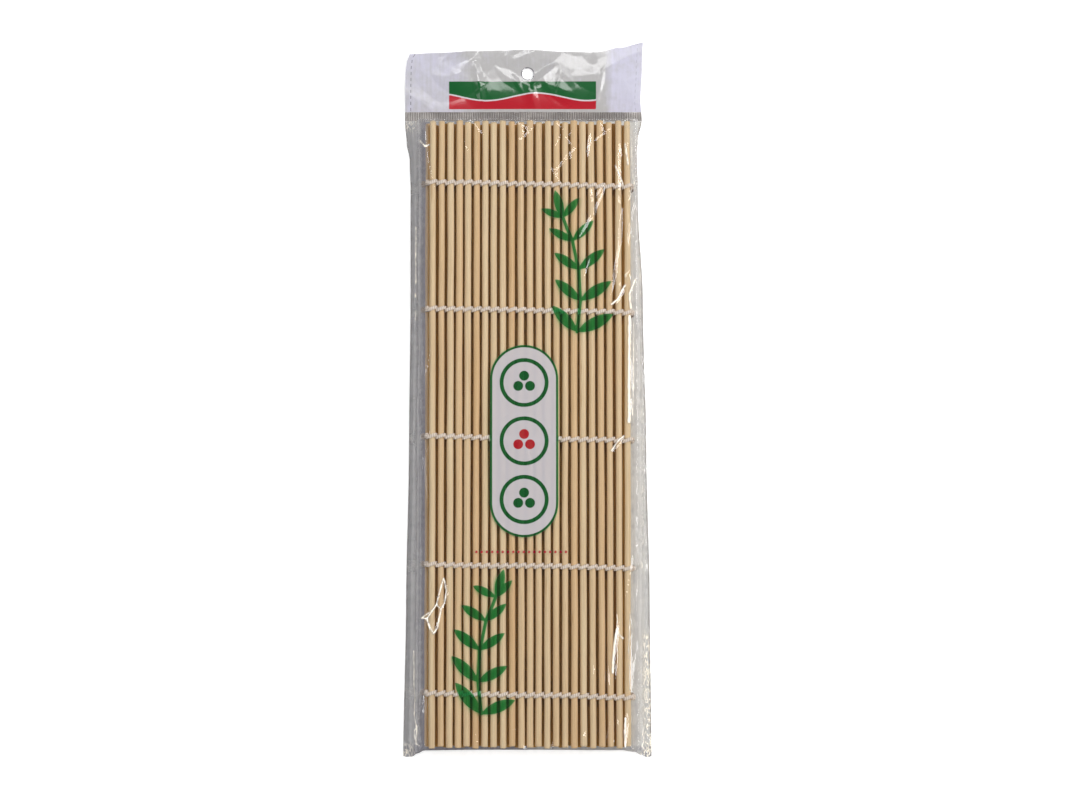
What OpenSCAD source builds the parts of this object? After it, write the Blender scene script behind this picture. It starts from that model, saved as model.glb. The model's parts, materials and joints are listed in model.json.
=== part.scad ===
// Sushi rolling mat of round bamboo slats twined with cotton string,
// rolled flat in three layers and sealed in a clear header bag.
// Millimetres, +Z up, header towards +Y, slats along Y.
// Origin: middle of the bag's footprint, on the surface it lies on.

/* [Slats] */
// Length of the longest slats, which is the width of the opened mat
slat_l = 240; // [150:5:300]
// Diameter of a slat
slat_d = 2.3; // [2:0.1:3]
// Slats side by side in each layer
columns = 23; // [9:2:23]
// Bevel round the cut end of a slat
slat_bevel = 0.25; // [0.1:0.05:0.4]
// Most that a slat is cut short of the longest ones
ragged = 1.6; // [0:0.1:3]

/* [String] */
// Rows of twined string across the slats
rows = 5; // [2:1:5]
// Distance from the header end of the slats to the first row
row_inset = 24.8; // [15:0.2:30]
// Distance from the last row to the other end of the slats
row_outset = 20; // [15:0.2:30]
// Diameter of one strand
strand_d = 0.75; // [0.6:0.05:0.9]
// Free space between a strand and the slat that it goes round
strand_clear = 0.175; // [0.1:0.025:0.25]
// Free space between two strands that pass each other
strand_gap = 0.15; // [0.1:0.05:0.3]
// Diameter of the knot at the end of a pair of strands
knot_d = 1.5; // [1.3:0.1:1.8]
// Radius of the bends where a row turns down to the next layer
turn_r = 1.2; // [1:0.1:1.4]

/* [Bag] */
// Thickness of the film
film_t = 0.15; // [0.1:0.05:0.25]
// Free space between the film and the string
film_gap = 0.15; // [0.1:0.05:0.5]
// Room in the bag left of the top layer
room_left = 10.1; // [8.5:0.1:13]
// Room in the bag right of the top layer
room_right = 8.4; // [7:0.1:13]
// Flat top of the front film past the top layer on each side
shoulder = 2.4; // [2.2:0.1:2.8]
// Foot of the front film's side walls, in from the bag's edge
margin = 2; // [1.5:0.1:2.5]
// Width of the melted bead along each side edge
weld_w = 0.8; // [0.5:0.1:1.2]
// Height of the bead above the two films
weld_h = 0.1; // [0.05:0.05:0.2]
// Room in the bag past the header end of the slats
end_room = 1.6; // [1:0.1:3]
// Room in the bag past the other end of the slats
bottom_room = 4.4; // [2.5:0.1:7]
// Flat top of the front film past the slat ends
end_shoulder = 0.3; // [0.2:0.05:0.5]

/* [Header] */
// Height of the ribbed seal under the header
seal_h = 3.6; // [2:0.1:6]
// Distance from one rib of the seal to the next
rib_step = 1.3; // [1:0.1:2.4]
// Width of a rib
rib_w = 0.65; // [0.4:0.05:0.8]
// Height of a rib above the film
rib_h = 0.1; // [0.05:0.05:0.2]
// Height of the header at its left edge
header_left = 21.5; // [20:0.5:35]
// Height of the header at its right edge
header_right = 27.5; // [20:0.5:35]
// Radius of the hang hole
hang_r = 2.2; // [1.5:0.1:3]
// Height of the hang hole's centre above the seal
hang_up = 15; // [8:0.2:15]
// Distance of the hang hole from the bag's middle
hang_x = 0; // [-5:0.2:5]
// Distance of the tear perforation from the bag's side edges
tear_inset = 2.2; // [1.5:0.1:4]
// Length of one perforation cut
tear_cut = 1.4; // [0.8:0.1:1.6]
// Distance from one perforation cut to the next
tear_step = 2.4; // [2:0.1:4]
// Width of a perforation cut
tear_w = 0.3; // [0.2:0.05:0.4]

/* [Hidden] */
slat_r = slat_d / 2;
strand_r = strand_d / 2;
knot_r = knot_d / 2;

// A strand goes round each slat in a half turn of this radius
pitch = slat_d + strand_d + 2 * strand_clear;
wrap_r = pitch / 2;
reach = wrap_r + strand_r;

// The middle layer lies half a pitch to the left, over the gaps
half_step = pitch / 2;
layer_step = sqrt(pow(pitch + strand_d + strand_gap, 2) - pow(half_step, 2));
bottom_z = film_t + film_gap + reach;
middle_z = bottom_z + layer_step;
top_z = middle_z + layer_step;
roof_z = top_z + reach + film_gap + film_t;

// Footprint
mat_w = (columns - 1) * pitch + slat_d;
bag_w = mat_w + room_left + room_right;
mat_x = (room_left - room_right) / 2;
header_h = max(header_left, header_right);
bag_l = header_h + seal_h + end_room + slat_l + bottom_room;
foot_y = -bag_l / 2;
slat_low = foot_y + bottom_room;
slat_high = slat_low + slat_l;
seal_low = slat_high + end_room;
seal_high = seal_low + seal_h;
bag_left = -bag_w / 2;
bag_right = bag_w / 2;
mat_left = mat_x - mat_w / 2;
mat_right = mat_x + mat_w / 2;

// The knots sit just past the outer slats, clear of them by the strand's own space
knot_out = slat_r + strand_clear + knot_r;
pair_step = strand_d + strand_gap;
row_step = rows > 1 ? (slat_l - row_inset - row_outset) / (rows - 1) : 0;

// Slats stray a little, by less than the strands leave them
stray = strand_clear / 4;
skew = asin(0.3 * strand_clear / (slat_l / 2));

two_digits = function(n) str(n < 10 ? "0" : "", n);
top_names = [for (i = [1:columns]) str("top_slat_", two_digits(i))];
lower_names = [for (i = [1:columns]) str("lower_slats_", two_digits(i))];
row_names = [for (i = [1:rows]) str("string_row_", i)];
bag_names = ["back_film", "front_film", "side_weld_left", "side_weld_right", "ribbed_seal", "header"];
$fn = 32;
strand_sides = 6;

function column_x(i) = mat_x + (i - (columns - 1) / 2) * pitch;
function row_y(j) = slat_high - row_inset - j * row_step;

// A steady wobble from -1 to 1 that differs from slat to slat
function wobble(i, salt) = sin(137.5 * i + 71 * salt);

// One round slat: centre line at x and z, layer number for its wobble
module slat(i, x, z, layer) {
  cut_low = ragged * (1 + wobble(i, layer + 3)) / 2;
  cut_high = ragged * (1 + wobble(i, layer + 7)) / 2;
  length = slat_l - cut_low - cut_high;
  translate([x + stray * wobble(i, layer), slat_low + cut_low + length / 2, z])
    rotate([90, 0, skew * wobble(i, layer + 11)])
      rotate_extrude()
        polygon([
          [0, -length / 2],
          [slat_r - slat_bevel, -length / 2],
          [slat_r, -length / 2 + slat_bevel],
          [slat_r, length / 2 - slat_bevel],
          [slat_r - slat_bevel, length / 2],
          [0, length / 2]
        ]);
}

module top_slat(i) {
  color([0.83, 0.73, 0.58]) slat(i, column_x(i), top_z, 1);
}

// The two slats under a top slat: one in the middle layer, one at the bottom
module lower_slats(i) {
  color([0.76, 0.63, 0.44]) {
    slat(i, column_x(i) - half_step, middle_z, 2);
    slat(i, column_x(i), bottom_z, 3);
  }
}

// Part of a ring of six-sided strand in the XZ plane, from one angle round to another
module arc_strand(radius, from, sweep) {
  rotate([90, 0, 0])
    rotate([0, 0, from])
      rotate_extrude(angle = sweep)
        translate([radius, 0]) circle(r = strand_r, $fn = strand_sides);
}

module straight_strand(length) {
  cylinder(r = strand_r, h = length, $fn = strand_sides);
}

// A barrel-shaped knot that takes in the ends of both strands
module knot() {
  half = pair_step / 2 + strand_r;
  rotate([90, 0, 0])
    rotate_extrude()
      polygon([
        [0, -half],
        [knot_r / 2, -half],
        [knot_r, -half / 2],
        [knot_r, half / 2],
        [knot_r / 2, half],
        [0, half]
      ]);
}

// One strand across a layer, over the even slats and under the odd ones or the other way
module strand(x0, over_first) {
  for (i = [0:columns - 1])
    translate([x0 + i * pitch, 0, 0])
      arc_strand(wrap_r, (i % 2 == 0) == over_first ? 0 : 180, 180);
}

// The pair of strands of one layer, tied off in a knot at each end
module strand_pair(x0) {
  translate([0, pair_step / 2, 0]) strand(x0, true);
  translate([0, -pair_step / 2, 0]) strand(x0, false);
  translate([x0 - knot_out, 0, 0]) knot();
  translate([x0 + (columns - 1) * pitch + knot_out, 0, 0]) knot();
}

// Where the mat turns over at its edge: out, down and back in to the layer below
module edge_turn(out_x, drop, back_in) {
  translate([out_x, 0, 0]) {
    translate([0, 0, -turn_r]) arc_strand(turn_r, 0, 90);
    translate([turn_r, 0, -drop + turn_r]) straight_strand(drop - 2 * turn_r);
    translate([0, 0, -drop + turn_r]) arc_strand(turn_r, 270, 90);
    if (back_in > 0)
      translate([-back_in, 0, -drop]) rotate([0, 90, 0]) straight_strand(back_in);
  }
}

module string_row(j) {
  x0 = column_x(0);
  x1 = column_x(columns - 1);
  color([0.93, 0.89, 0.82])
    translate([0, row_y(j), 0]) {
      translate([0, 0, top_z]) strand_pair(x0);
      translate([0, 0, middle_z]) strand_pair(x0 - half_step);
      translate([0, 0, bottom_z]) strand_pair(x0);
      translate([0, 0, top_z]) edge_turn(x1 + knot_out, top_z - bottom_z, 0);
      translate([0, 0, middle_z])
        mirror([1, 0, 0]) edge_turn(half_step - x0 + knot_out, middle_z - bottom_z, half_step);
    }
}

// The raised part of the front film, less its thickness all round when thin is film_t
module film_hat(thin) {
  low = film_t;
  intersection() {
    translate([0, bag_l, 0])
      rotate([90, 0, 0])
        linear_extrude(height = 2 * bag_l)
          polygon([
            [bag_left + margin + thin, low],
            [mat_left - shoulder + thin, roof_z - thin],
            [mat_right + shoulder - thin, roof_z - thin],
            [bag_right - margin - thin, low]
          ]);
    translate([-bag_w, 0, 0])
      rotate([90, 0, 90])
        linear_extrude(height = 2 * bag_w)
          polygon([
            [foot_y + end_shoulder + thin, low],
            [slat_low - end_shoulder - film_t + thin, roof_z - thin],
            [slat_high + end_shoulder + film_t - thin, roof_z - thin],
            [seal_low - thin, low]
          ]);
  }
}

module film_sheet(z) {
  translate([bag_left + weld_w, foot_y, z])
    cube([bag_w - 2 * weld_w, seal_low - foot_y, film_t]);
}

module back_film() {
  color([0.86, 0.87, 0.89, 0.6]) film_sheet(0);
}

module front_film() {
  color([0.88, 0.89, 0.92, 0.35])
    difference() {
      union() {
        film_sheet(film_t);
        film_hat(0);
      }
      film_hat(film_t);
    }
}

module side_weld(x) {
  color([0.8, 0.8, 0.82, 0.7])
    translate([x, foot_y, 0]) cube([weld_w, seal_low - foot_y, 2 * film_t + weld_h]);
}

module side_weld_left() {
  side_weld(bag_left);
}

module side_weld_right() {
  side_weld(bag_right - weld_w);
}

module ribbed_seal() {
  ribs = floor((bag_w - rib_w) / rib_step);
  first = -(ribs - 1) * rib_step / 2 - rib_w / 2;
  color([0.78, 0.78, 0.8, 0.8]) {
    translate([bag_left, seal_low, 0]) cube([bag_w, seal_h, 2 * film_t]);
    for (i = [0:ribs - 1])
      translate([first + i * rib_step, seal_low, 2 * film_t]) cube([rib_w, seal_h, rib_h]);
  }
}

// A line of cuts up the header, short of its slanted top edge
module tear_line(x, height) {
  cuts = floor((height - tear_cut) / tear_step);
  for (i = [0:cuts - 1])
    translate([x - tear_w / 2, seal_high + (i + 0.5) * tear_step, -film_t])
      cube([tear_w, tear_cut, 4 * film_t]);
}

module header() {
  color([0.86, 0.85, 0.9, 0.8])
    difference() {
      linear_extrude(height = 2 * film_t)
        polygon([
          [bag_left, seal_high],
          [bag_right, seal_high],
          [bag_right, seal_high + header_right],
          [bag_left, seal_high + header_left]
        ]);
      translate([hang_x, seal_high + hang_up, -film_t]) cylinder(r = hang_r, h = 4 * film_t);
      tear_line(bag_left + tear_inset, header_left);
      tear_line(bag_right - tear_inset, header_right);
    }
}

for (i = [0:columns - 1]) {
  top_slat(i);
  lower_slats(i);
}
for (j = [0:rows - 1])
  string_row(j);
back_film();
front_film();
side_weld_left();
side_weld_right();
ribbed_seal();
header();
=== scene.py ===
# %% [markdown]
# # A sushi rolling mat in its header bag
# The real object is a mat of thin round bamboo slats, twined with cotton string. It is folded
# flat in three layers and sealed in a clear bag with a printed front and a header to hang it by.
# This script builds the looks around a imported CAD model, which stays fixed. The first step
# loads that model and keeps its parts, whose boxes give the measures below.
# %% Load the imported model
import json
import math

import bpy
import numpy as np
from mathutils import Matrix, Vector

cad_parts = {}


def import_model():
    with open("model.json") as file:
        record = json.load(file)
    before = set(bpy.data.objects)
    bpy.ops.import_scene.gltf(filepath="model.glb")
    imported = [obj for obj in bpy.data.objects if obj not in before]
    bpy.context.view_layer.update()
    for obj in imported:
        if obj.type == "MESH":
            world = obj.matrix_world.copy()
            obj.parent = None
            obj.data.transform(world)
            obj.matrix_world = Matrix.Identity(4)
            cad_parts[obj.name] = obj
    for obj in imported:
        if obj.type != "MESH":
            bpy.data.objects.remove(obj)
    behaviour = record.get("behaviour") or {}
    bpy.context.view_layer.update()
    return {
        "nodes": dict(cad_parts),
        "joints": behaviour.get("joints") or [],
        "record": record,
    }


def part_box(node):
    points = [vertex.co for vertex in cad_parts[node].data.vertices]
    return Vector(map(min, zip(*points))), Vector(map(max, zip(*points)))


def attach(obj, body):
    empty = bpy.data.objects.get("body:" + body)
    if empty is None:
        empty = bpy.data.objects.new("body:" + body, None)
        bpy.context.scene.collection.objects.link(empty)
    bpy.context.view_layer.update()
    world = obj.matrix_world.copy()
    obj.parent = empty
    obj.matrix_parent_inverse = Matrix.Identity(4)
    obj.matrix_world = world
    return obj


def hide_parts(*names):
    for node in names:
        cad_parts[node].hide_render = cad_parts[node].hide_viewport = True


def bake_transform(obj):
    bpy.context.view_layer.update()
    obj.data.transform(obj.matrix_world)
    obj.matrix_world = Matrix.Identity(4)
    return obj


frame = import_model()

# %% [markdown]
# ## The camera
# The photograph looks almost straight down on the mat, from about 0.8 m, with its lower edge
# a little nearer. A 70 mm lens at that distance gives the photograph's slight perspective.
# The object's sizes below are in millimetres, and MM turns them into Blender's metres. Only the
# lamps and the floor are placed in metres.
# %% Camera
MM = 0.001
CAMERA_PLACE = (2.09, -47.47, 801.64)
CAMERA_TILT = 3.289

camera_data = bpy.data.cameras.new("camera")
camera_data.lens = 70
camera_data.sensor_width = 36
camera_data.clip_start = 0.01
camera = bpy.data.objects.new("camera", camera_data)
camera.location = Vector(CAMERA_PLACE) * MM
camera.rotation_euler = (math.radians(CAMERA_TILT), 0, 0)
bpy.context.scene.collection.objects.link(camera)
bpy.context.scene.camera = camera
bpy.context.scene.view_settings.view_transform = "Standard"
print("camera at", [round(v, 4) for v in camera.location])

# %% [markdown]
# ## Measures from the model
# The slats, the strings and the film all follow the same columns, so their places are read
# from the CAD model: the hinge lines lie in the gaps between the columns, and the boxes of the
# slats give their thickness, their layers and their ends. The slats are drawn a little thicker
# than in the model, the top ones most, so that the gaps between them are as narrow as they look.
# %% Read the model's measures
TOP_EXTRA = 0.12
LOWER_EXTRA = 0.03

joints = frame["joints"]
hinge_xs = sorted(joint["pos_m"][0] / MM for joint in joints)
columns = len(hinge_xs) + 1
pitch = (hinge_xs[-1] - hinge_xs[0]) / (columns - 2)
column_xs = [hinge_xs[0] - pitch / 2 + i * pitch for i in range(columns)]
body_names = [f"column_{i + 1:02d}" for i in range(columns)]


def box_mm(node):
    """A node's lowest and highest corner, in millimetres."""
    low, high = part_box(node)
    return np.array(low) / MM, np.array(high) / MM


top_low, top_high = box_mm("top_slat_12")
under_low, under_high = box_mm("lower_slats_12")
slat_r = (top_high[2] - top_low[2]) / 2
drawn_r = slat_r + TOP_EXTRA
hidden_r = slat_r + LOWER_EXTRA
top_z = (top_high[2] + top_low[2]) / 2
bottom_z = under_low[2] + slat_r
middle_z = under_high[2] - slat_r
wrap_r = pitch / 2
row_names = sorted(n for n in frame["nodes"] if n.startswith("string_row_"))
row_ys = [float(np.mean([corner[1] for corner in box_mm(n)])) for n in row_names]
slat_low = min(box_mm(f"top_slat_{i + 1:02d}")[0][1] for i in range(columns))
slat_high = max(box_mm(f"top_slat_{i + 1:02d}")[1][1] for i in range(columns))
print(f"{columns} columns {pitch:.2f} apart, layers at {bottom_z:.2f} {middle_z:.2f} {top_z:.2f}")
print("string rows at", [round(y, 2) for y in row_ys])

# %% [markdown]
# ## Making a mesh
# Every piece here is a grid of points: round a slat, along a string, or across a film. One
# helper turns such a grid into a mesh. It takes the normals of the whole surface, so that a
# surface cut into strips still shades as one, and named numbers that a material reads later.
# Three more helpers say where on the bag something is: past a place, before it, or around it.
# %% Mesh helpers
def smooth(t):
    """A soft step from 0 to 1."""
    t = np.clip(t, 0, 1)
    return t * t * (3 - 2 * t)


def past(value, start, width):
    """0 up to a start, then rising softly to 1 over a width."""
    return smooth((value - start) / width)


def before(value, end, width):
    """1, falling softly over a width to 0 at an end."""
    return smooth((end - value) / width)


def around(value, centre, width):
    """1 at a centre, falling to 0 on both sides of it as a bell does."""
    return np.exp(-(((value - centre) / width) ** 2))


def grid_normals(points, closed):
    """Unit normals of a grid of points; closed says that its last column meets the first."""
    down = np.gradient(points, axis=0)
    if closed:
        across = np.roll(points, -1, axis=1) - np.roll(points, 1, axis=1)
    else:
        across = np.gradient(points, axis=1)
    normals = np.cross(across, down)
    return normals / np.maximum(np.linalg.norm(normals, axis=2, keepdims=True), 1e-12)


def grid_faces(rows, cols, closed=False, keep=None):
    """Four-sided faces of a grid whose points are numbered row by row, facing outwards."""
    number = np.arange(rows * cols).reshape(rows, cols)
    if closed:
        number = np.concatenate([number, number[:, :1]], axis=1)[:, ::-1]
    faces = np.stack(
        [number[:-1, :-1], number[:-1, 1:], number[1:, 1:], number[1:, :-1]], axis=-1
    )
    return faces[keep] if keep is not None else faces.reshape(-1, 4)


def make_piece(name, points, faces, normals, numbers, material):
    """One object from points in millimetres, with named numbers at its points."""
    mesh = bpy.data.meshes.new(name)
    used, index = np.unique(np.concatenate([np.ravel(f) for f in faces]), return_inverse=True)
    ends = np.cumsum([0] + [len(f) for f in faces])
    parts = [index[a:b].tolist() for a, b in zip(ends[:-1], ends[1:])]
    mesh.from_pydata((points[used] * MM).tolist(), [], parts)
    for key, values in numbers.items():
        kind = "FLOAT" if np.ndim(values) == 1 else "FLOAT_VECTOR"
        field = "value" if kind == "FLOAT" else "vector"
        layer = mesh.attributes.new(key, kind, "POINT")
        layer.data.foreach_set(field, values[used].astype(np.float32).ravel())
    mesh.shade_smooth()
    if normals is not None:
        mesh.normals_split_custom_set_from_vertices(normals[used].tolist())
    mesh.materials.append(material)
    piece = bpy.data.objects.new(name, mesh)
    bpy.context.scene.collection.objects.link(piece)
    return piece


# %% [markdown]
# ## Writing materials as sums
# A material is a small calculation over the surface. The class below wraps one output of a
# node, so that Python's own operators add the Math nodes, and one method adds any other node.
# %% The Wire class
class Wire:
    """One node's output. Sums with it become Math nodes in the same material."""

    def __init__(self, socket):
        self.socket = socket

    @classmethod
    def node(cls, tree, kind, settings=None, inputs=None, output=0):
        """Adds a node: its settings first, then a value or a Wire for each named input."""
        made = tree.nodes.new(kind)
        for key, value in (settings or {}).items():
            setattr(made, key, value)
        for key, value in (inputs or {}).items():
            if isinstance(value, cls):
                tree.links.new(value.socket, made.inputs[key])
            else:
                made.inputs[key].default_value = value
        return cls(made.outputs[output])

    def math(self, operation, *others):
        inputs = dict(enumerate([self, *others]))
        return self.node(self.socket.id_data, "ShaderNodeMath", {"operation": operation}, inputs)

    def __add__(self, other):
        return self.math("ADD", other)

    __radd__ = __add__

    def __sub__(self, other):
        return self.math("SUBTRACT", other)

    def __rsub__(self, other):
        return (self * -1.0) + other

    def __mul__(self, other):
        return self.math("MULTIPLY", other)

    __rmul__ = __mul__

    def __truediv__(self, other):
        return self.math("DIVIDE", other)

    def clamp(self):
        return self.math("MINIMUM", 1.0).math("MAXIMUM", 0.0)

    def above(self, level, gain):
        """0 up to a level, then rising by a gain to 1."""
        return ((self - level) * gain).clamp()

    def below(self, level, gain):
        """0 from a level upwards, and rising by a gain to 1 under it."""
        return ((level - self) * gain).clamp()

    def larger(self, other):
        return self.math("MAXIMUM", other)


# %% [markdown]
# A few short functions name the nodes that come back in every material: a number stored on the
# mesh, a streaky noise, a mix of two colours, and the ink mask of a printed shape. Colours are
# given as they look on a screen, from 0 to 255, and turned into the linear light that shaders
# work in.
# %% Small material words
def paint(red, green, blue):
    """A screen colour as linear light."""
    share = np.array([red, green, blue]) / 255
    return tuple(np.where(share > 0.04045, ((share + 0.055) / 1.055) ** 2.4, share / 12.92))


def new_tree(name):
    """An empty material and its node tree."""
    material = bpy.data.materials.new(name)
    material.use_nodes = True
    material.node_tree.nodes.clear()
    return material, material.node_tree


def finish_tree(tree, surface):
    """Leads a shader to the material's output."""
    output = tree.nodes.new("ShaderNodeOutputMaterial")
    tree.links.new(surface.socket, output.inputs["Surface"])


def stored(tree, name, output="Fac"):
    """A number stored at the mesh's points, or a place, if the output is Vector."""
    return Wire.node(tree, "ShaderNodeAttribute", {"attribute_name": name}, None, output)


def axis_of(tree, place, axis):
    """One coordinate of a place."""
    return Wire.node(tree, "ShaderNodeSeparateXYZ", None, {"Vector": place}, axis)


def stretched(tree, place, scale):
    """A place with each axis scaled, so that a noise over it becomes streaks."""
    settings = {"operation": "MULTIPLY"}
    return Wire.node(tree, "ShaderNodeVectorMath", settings, {0: place, 1: scale})


def noise(tree, place, scale=1.0, detail=3.0, shift=None):
    """Noise from 0 to 1 over a place; shift is a fourth coordinate that sets pieces apart."""
    inputs = {"Vector": place, "Scale": scale, "Detail": detail}
    if shift is None:
        return Wire.node(tree, "ShaderNodeTexNoise", None, inputs)
    return Wire.node(tree, "ShaderNodeTexNoise", {"noise_dimensions": "4D"}, {**inputs, "W": shift})


def mixed(tree, mask, first, second):
    """The first colour where the mask is 0 and the second where it is 1."""
    inputs = {"Factor": mask, 6: as_colour(first), 7: as_colour(second)}
    return Wire.node(tree, "ShaderNodeMix", {"data_type": "RGBA"}, inputs, 2)


def as_colour(value):
    """A plain colour with its fourth number added, or a Wire as it is."""
    return value if isinstance(value, Wire) else (*value, 1)


def bumped(tree, height, distance, strength=1.0):
    """A normal tilted as if the surface had this height, times a distance in millimetres."""
    inputs = {"Height": height, "Distance": distance * MM, "Strength": strength}
    return Wire.node(tree, "ShaderNodeBump", None, inputs)


# %% [markdown]
# ## Light and floor
# Flat film facing up would mirror anything right above it, so the soft lamps stand off to the
# sides. Tilted creases catch the two narrow bright ones, which gives the film its white glints.
# The floor is pale, keeps the object's shadow, and is turned up into four far walls. Only for
# camera, mirror and glass rays does it shine a little by itself, and fully far out, so that it
# reads as white without more light on the mat.
# %% Lamps, world and floor
def add_lamp(name, place, aim, size, power):
    """A soft rectangular lamp; places in metres, size as (width, height)."""
    data = bpy.data.lights.new(name, "AREA")
    data.shape = "RECTANGLE"
    data.size, data.size_y = size
    data.energy = power
    lamp = bpy.data.objects.new(name, data)
    lamp.location = place
    lamp.rotation_euler = (Vector(aim) - Vector(place)).to_track_quat("-Z", "Y").to_euler()
    bpy.context.scene.collection.objects.link(lamp)


add_lamp("key_right", (0.85, 0.25, 0.75), (0, 0, 0), (0.5, 0.9), 4.3)
add_lamp("fill_left", (-0.85, -0.1, 0.7), (0, 0, 0), (0.5, 0.9), 2.8)
add_lamp("glint_right", (0.38, 0.0, 0.85), (0, 0, 0), (0.8, 0.13), 3.4)
add_lamp("glint_head", (-0.02, 0.46, 0.78), (0, 0.1, 0), (0.55, 0.14), 2.0)

WORLD_LIGHT = 0.12
world = bpy.data.worlds.new("studio")
world.use_nodes = True
world.node_tree.nodes["Background"].inputs["Color"].default_value = (1, 1, 1, 1)
world.node_tree.nodes["Background"].inputs["Strength"].default_value = WORLD_LIGHT
bpy.context.scene.world = world

FLOOR_SIDE = 6.0
FLOOR_DROP = 0.0002
WALL_HEIGHT = 2.0
LIT_RADIUS = 0.45
FLOOR_TONE = 0.9
FLOOR_GLOW = 0.5
half = FLOOR_SIDE / 2
floor_mesh = bpy.data.meshes.new("floor")
corners = [(-half, -half), (half, -half), (half, half), (-half, half)]
floor_points = [(x, y, z) for z in (-FLOOR_DROP, WALL_HEIGHT) for x, y in corners]
walls = [(k, k + 4, (k + 1) % 4 + 4, (k + 1) % 4) for k in range(4)]
floor_mesh.from_pydata(floor_points, [], [(0, 1, 2, 3), *walls])
floor = bpy.data.objects.new("floor", floor_mesh)
bpy.context.scene.collection.objects.link(floor)

material, tree = new_tree("floor")
path = tree.nodes.new("ShaderNodeLightPath")
seen = Wire(path.outputs["Is Camera Ray"])
seen = seen.larger(Wire(path.outputs["Is Glossy Ray"]))
seen = seen.larger(Wire(path.outputs["Is Transmission Ray"]))
matte = {"Base Color": (FLOOR_TONE, FLOOR_TONE, FLOOR_TONE, 1), "Roughness": 0.9}
plain = Wire.node(tree, "ShaderNodeBsdfPrincipled", None, matte)
lifted = {**matte, "Emission Color": (1, 1, 1, 1), "Emission Strength": FLOOR_GLOW}
lifted = Wire.node(tree, "ShaderNodeBsdfPrincipled", None, lifted)
white = Wire.node(tree, "ShaderNodeEmission", None, {"Strength": 1.0})
spot = Wire.node(tree, "ShaderNodeNewGeometry", None, None, "Position")
distance = Wire.node(tree, "ShaderNodeVectorMath", {"operation": "LENGTH"}, {0: spot}, "Value")
far = (distance / LIT_RADIUS - 1.0).clamp()
shining = Wire.node(tree, "ShaderNodeMixShader", None, {0: far, 1: lifted, 2: white})
finish_tree(tree, Wire.node(tree, "ShaderNodeMixShader", None, {0: seen, 1: plain, 2: shining}))
floor_mesh.materials.append(material)

# %% [markdown]
# ## Bamboo
# The slats are split bamboo drawn through a round die: pale tan, with fine straight fibres,
# a few darker flecks, and tiny pores where the fibres end at the cut. One streaky noise gives
# both, because it is stretched along the slat and fine across it: along the side it shows as
# fibres, and on the cut end as pores. Each slat has its own tone, stored on its mesh, and a
# shade: above 0 it darkens towards a painted shadow brown, which stands for the shade in the
# gaps between the top slats, and below 0 it pales.
# %% Bamboo finishes
FIBRE_SCALE = (2600.0, 30.0, 2600.0)
FLECK_SCALE = (900.0, 60.0, 900.0)
BLOTCH_SCALE = (300.0, 22.0, 300.0)
PAINTED_GAP_SHADOW = (0.09, 0.035, 0.004)
PALEST = (226, 200, 160)


def bamboo_finish(name, pale, tan, brown):
    """A finish from the palest to the brownest colour of the wood."""
    material, tree = new_tree(name)
    place = Wire.node(tree, "ShaderNodeTexCoord", None, None, "Object")
    tone = stored(tree, "tone")
    shift = tone * 40.0
    fibres = noise(tree, stretched(tree, place, FIBRE_SCALE), 1.0, 4.0, shift)
    flecks = noise(tree, stretched(tree, place, FLECK_SCALE), 1.0, 2.0, shift)
    blotches = noise(tree, stretched(tree, place, BLOTCH_SCALE), 1.0, 2.0, shift)
    warm = (tone * 0.75 + blotches * 0.7 - 0.22).clamp()
    colour = mixed(tree, warm, pale, tan)
    streak = fibres.above(0.42, 2.6) * 0.42
    colour = mixed(tree, streak, colour, brown)
    fleck = flecks.above(0.66, 9.0) * 0.5
    colour = mixed(tree, fleck, colour, brown)
    shade = stored(tree, "shade")
    # painted shade: above 0, the shade darkens the wood towards the painted shadow brown of the gaps
    colour = mixed(tree, shade.clamp(), colour, PAINTED_GAP_SHADOW)
    colour = mixed(tree, (shade * -1.0).clamp(), colour, paint(*PALEST))
    roughness = 0.5 + fibres * 0.3
    normal = bumped(tree, fibres * 0.7 + flecks * 0.3, 0.06, 0.8)
    inputs = {"Base Color": colour, "Roughness": roughness, "Normal": normal}
    inputs["Specular IOR Level"] = 0.35
    finish_tree(tree, Wire.node(tree, "ShaderNodeBsdfPrincipled", None, inputs))
    return material


bamboo = bamboo_finish("bamboo", paint(234, 212, 174), paint(224, 187, 139), paint(176, 130, 78))
# The lower slats' colours are warmer and deeper than the top's, a painted stand-in for the warm shade
# in the gaps.
under = bamboo_finish("bamboo_under", paint(236, 186, 98), paint(214, 154, 60), paint(148, 88, 24))
print("bamboo nodes:", len(bamboo.node_tree.nodes))

# %% [markdown]
# ## Slats
# No slat is quite straight or quite round. Each is lofted as rings of points along its length:
# it bows a little between the string rows, which hold it in place, its thickness wanders by a
# few hundredths, and its sawn ends are bevelled with a rough lip. The lengths and the places
# come from the CAD slats.
# %% Slats
RING_SIDES = 14
RING_STEP = 4.0
BOW = 0.13
LEAN = 0.22
END_REACH = 1.6
HOLD_OUT = 8.0
JAG = 0.12
END_RINGS = ((0.0, 0.0), (0.0, 0.55), (0.02, 0.84), (0.1, 0.93), (0.3, 1.0), (0.8, 1.0))
# The middle slats show in the gaps and get painted shade; the first of them and the bottom slats are
# paled.
GAP_SHADE, EDGE_SHADE, BOTTOM_SHADE = 0.4, -0.45, -0.65


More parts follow.
